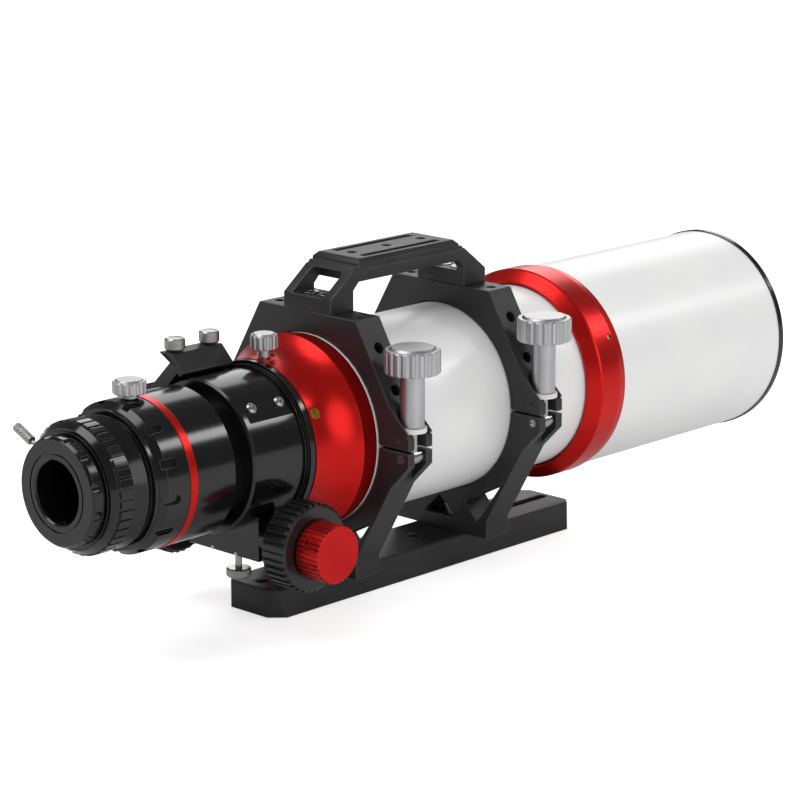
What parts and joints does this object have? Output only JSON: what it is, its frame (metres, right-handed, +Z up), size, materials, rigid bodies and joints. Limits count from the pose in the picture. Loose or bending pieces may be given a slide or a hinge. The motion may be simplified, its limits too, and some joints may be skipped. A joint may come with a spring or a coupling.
{
  "type": "refractor telescope tube assembly",
  "caption": "Small refracting telescope tube with sliding dew shield, rack-and-pinion focuser, hinged rings, carrying handle and dovetail bar.",
  "frame": {"origin": "middle of the dovetail bar's underside", "axes": "+Y along the tube towards the sky, +Z up from the bar to the handle, +X towards the clamp knobs"},
  "size_m": [0.1543, 0.504, 0.1793],
  "materials": {
    "satin_black": "bead-blasted black anodised aluminium",
    "gloss_black": "turned aluminium, glossy black anodised",
    "red_anodised": "turned aluminium, satin red anodised",
    "white_paint": "satin white paint on drawn aluminium tube",
    "silver_knob": "satin turned aluminium, clear anodised",
    "steel_screw": "stainless steel fasteners",
    "nickel": "nickel-plated brass, diamond knurled",
    "brass": "plain turned brass",
    "white_nylon": "turned white nylon",
    "dark_felt": "glued black felt",
    "baffle_black": "flat black paint",
    "lens_glass": "coated optical glass"
  },
  "bodies": {
    "saddle": {"dovetail_bar": "satin_black", "foot_screws": "steel_screw", "ring_base_rear": "satin_black", "ring_base_front": "satin_black", "ring_top_rear": "satin_black", "ring_top_front": "satin_black", "base_felts": "dark_felt", "top_felts": "dark_felt", "hinge_pins": "steel_screw", "fork_pins": "steel_screw", "handle_rail": "satin_black", "handle_screws": "steel_screw", "main_tube": "white_paint", "tube_baffles": "baffle_black", "objective_cell": "baffle_black", "rear_lens": "lens_glass", "lens_spacer": "baffle_black", "front_lens": "lens_glass", "lens_retainer": "baffle_black", "cone_adapter": "red_anodised", "brass_screw": "brass"},
    "sliding_shield": {"dew_shield": "white_paint", "shield_collar": "red_anodised", "collar_felt": "dark_felt", "collar_screws": "steel_screw", "shield_rim": "gloss_black"},
    "rear_bolt": {"swing_bolt_rear": "steel_screw", "clamp_washer_rear": "white_nylon"},
    "rear_knob": {"clamp_knob_rear": "silver_knob"},
    "front_bolt": {"swing_bolt_front": "steel_screw", "clamp_washer_front": "white_nylon"},
    "front_knob": {"clamp_knob_front": "silver_knob"},
    "focuser_lock": {"focuser_lock_knob": "silver_knob"},
    "focuser": {"focuser_body": "gloss_black", "pinion_cap": "satin_black", "cap_screws": "steel_screw", "body_flange": "gloss_black", "button_screws": "steel_screw", "finder_shoe": "satin_black", "shoe_screws": "steel_screw", "pinion_bushes": "brass"},
    "shoe_screw_rear": {"shoe_thumbscrew_rear": "nickel"},
    "shoe_screw_front": {"shoe_thumbscrew_front": "nickel"},
    "drag_screw": {"tension_screw": "nickel"},
    "pinion": {"pinion_shaft": "steel_screw", "coarse_knob_right": "satin_black", "coarse_knob_left": "satin_black"},
    "fine_drive": {"fine_knob": "red_anodised"},
    "draw": {"drawtube": "gloss_black", "gear_rack": "steel_screw", "rotator_housing": "gloss_black", "accent_ring": "red_anodised"},
    "rotator": {"rotator_ring": "gloss_black", "eyepiece_holder": "gloss_black"},
    "rotator_lock": {"rotator_lock_knob": "silver_knob"},
    "twist_ring": {"clamp_ring": "satin_black"},
    "adapter": {"eyepiece_adapter": "gloss_black", "adapter_set_screws": "steel_screw"},
    "ring_lock": {"ring_thumbscrew": "nickel"}
  },
  "joints": [
    {"name": "dew_shield_slide", "type": "slide", "parent": "saddle", "child": "sliding_shield", "axis": [0, -1, 0], "range_m": [0, 0.042]},
    {"name": "rear_bolt_swing", "type": "hinge", "parent": "saddle", "child": "rear_bolt", "pos_m": [0.0671, -0.0655, 0.086], "axis": [0, 1, 0], "range_deg": [0, 95]},
    {"name": "front_bolt_swing", "type": "hinge", "parent": "saddle", "child": "front_bolt", "pos_m": [0.0671, 0.0355, 0.086], "axis": [0, 1, 0], "range_deg": [0, 95]},
    {"name": "rear_clamp_turn", "type": "hinge", "parent": "rear_bolt", "child": "rear_knob", "pos_m": [0.0671, -0.0655, 0.13], "axis": [0, 0, 1], "range_deg": [0, 720]},
    {"name": "front_clamp_turn", "type": "hinge", "parent": "front_bolt", "child": "front_knob", "pos_m": [0.0671, 0.0355, 0.13], "axis": [0, 0, 1], "range_deg": [0, 720]},
    {"name": "focuser_turn", "type": "hinge", "parent": "saddle", "child": "focuser", "pos_m": [0, -0.105, 0.0903], "axis": [0, 1, 0], "range_deg": [-15, 15]},
    {"name": "focuser_lock_turn", "type": "hinge", "parent": "saddle", "child": "focuser_lock", "pos_m": [0, -0.105, 0.135], "axis": [0, 0, 1], "range_deg": [0, 360]},
    {"name": "focus_slide", "type": "slide", "parent": "focuser", "child": "draw", "axis": [0, -1, 0], "range_m": [0, 0.06]},
    {"name": "coarse_turn", "type": "hinge", "parent": "focuser", "child": "pinion", "pos_m": [0, -0.126, 0.0484], "axis": [1, 0, 0], "range_deg": [0, 540]},
    {"name": "fine_turn", "type": "hinge", "parent": "focuser", "child": "fine_drive", "pos_m": [0.066, -0.126, 0.0484], "axis": [1, 0, 0], "range_deg": [0, 5400]},
    {"name": "rotator_turn", "type": "hinge", "parent": "draw", "child": "rotator", "pos_m": [0, -0.2, 0.0903], "axis": [0, 1, 0], "continuous": true},
    {"name": "rotator_lock_turn", "type": "hinge", "parent": "rotator", "child": "rotator_lock", "pos_m": [0, -0.1962, 0.135], "axis": [0, 0, 1], "range_deg": [0, 360]},
    {"name": "twist_ring_turn", "type": "hinge", "parent": "rotator", "child": "twist_ring", "pos_m": [0, -0.229, 0.0903], "axis": [0, 1, 0], "range_deg": [-30, 30]},
    {"name": "adapter_slide", "type": "slide", "parent": "rotator", "child": "adapter", "axis": [0, -1, 0], "range_m": [0, 0.028]},
    {"name": "ring_lock_turn", "type": "hinge", "parent": "twist_ring", "child": "ring_lock", "pos_m": [-0.03625, -0.22935, 0.1072], "axis": [-0.9063, 0, 0.4226], "range_deg": [0, 360]},
    {"name": "shoe_rear_turn", "type": "hinge", "parent": "focuser", "child": "shoe_screw_rear", "pos_m": [-0.02331, -0.145, 0.1402], "axis": [0, 0, 1], "range_deg": [0, 360]},
    {"name": "shoe_front_turn", "type": "hinge", "parent": "focuser", "child": "shoe_screw_front", "pos_m": [-0.02331, -0.1215, 0.1402], "axis": [0, 0, 1], "range_deg": [0, 360]},
    {"name": "drag_screw_turn", "type": "hinge", "parent": "focuser", "child": "drag_screw", "pos_m": [0, -0.1248, 0.03], "axis": [0, 0, 1], "range_deg": [0, 360]}
  ],
  "couplings": [
    {"joint": "coarse_turn", "follows": "focus_slide", "rad_per_m": 156.25},
    {"joint": "fine_turn", "follows": "focus_slide", "rad_per_m": 1562.5}
  ]
}
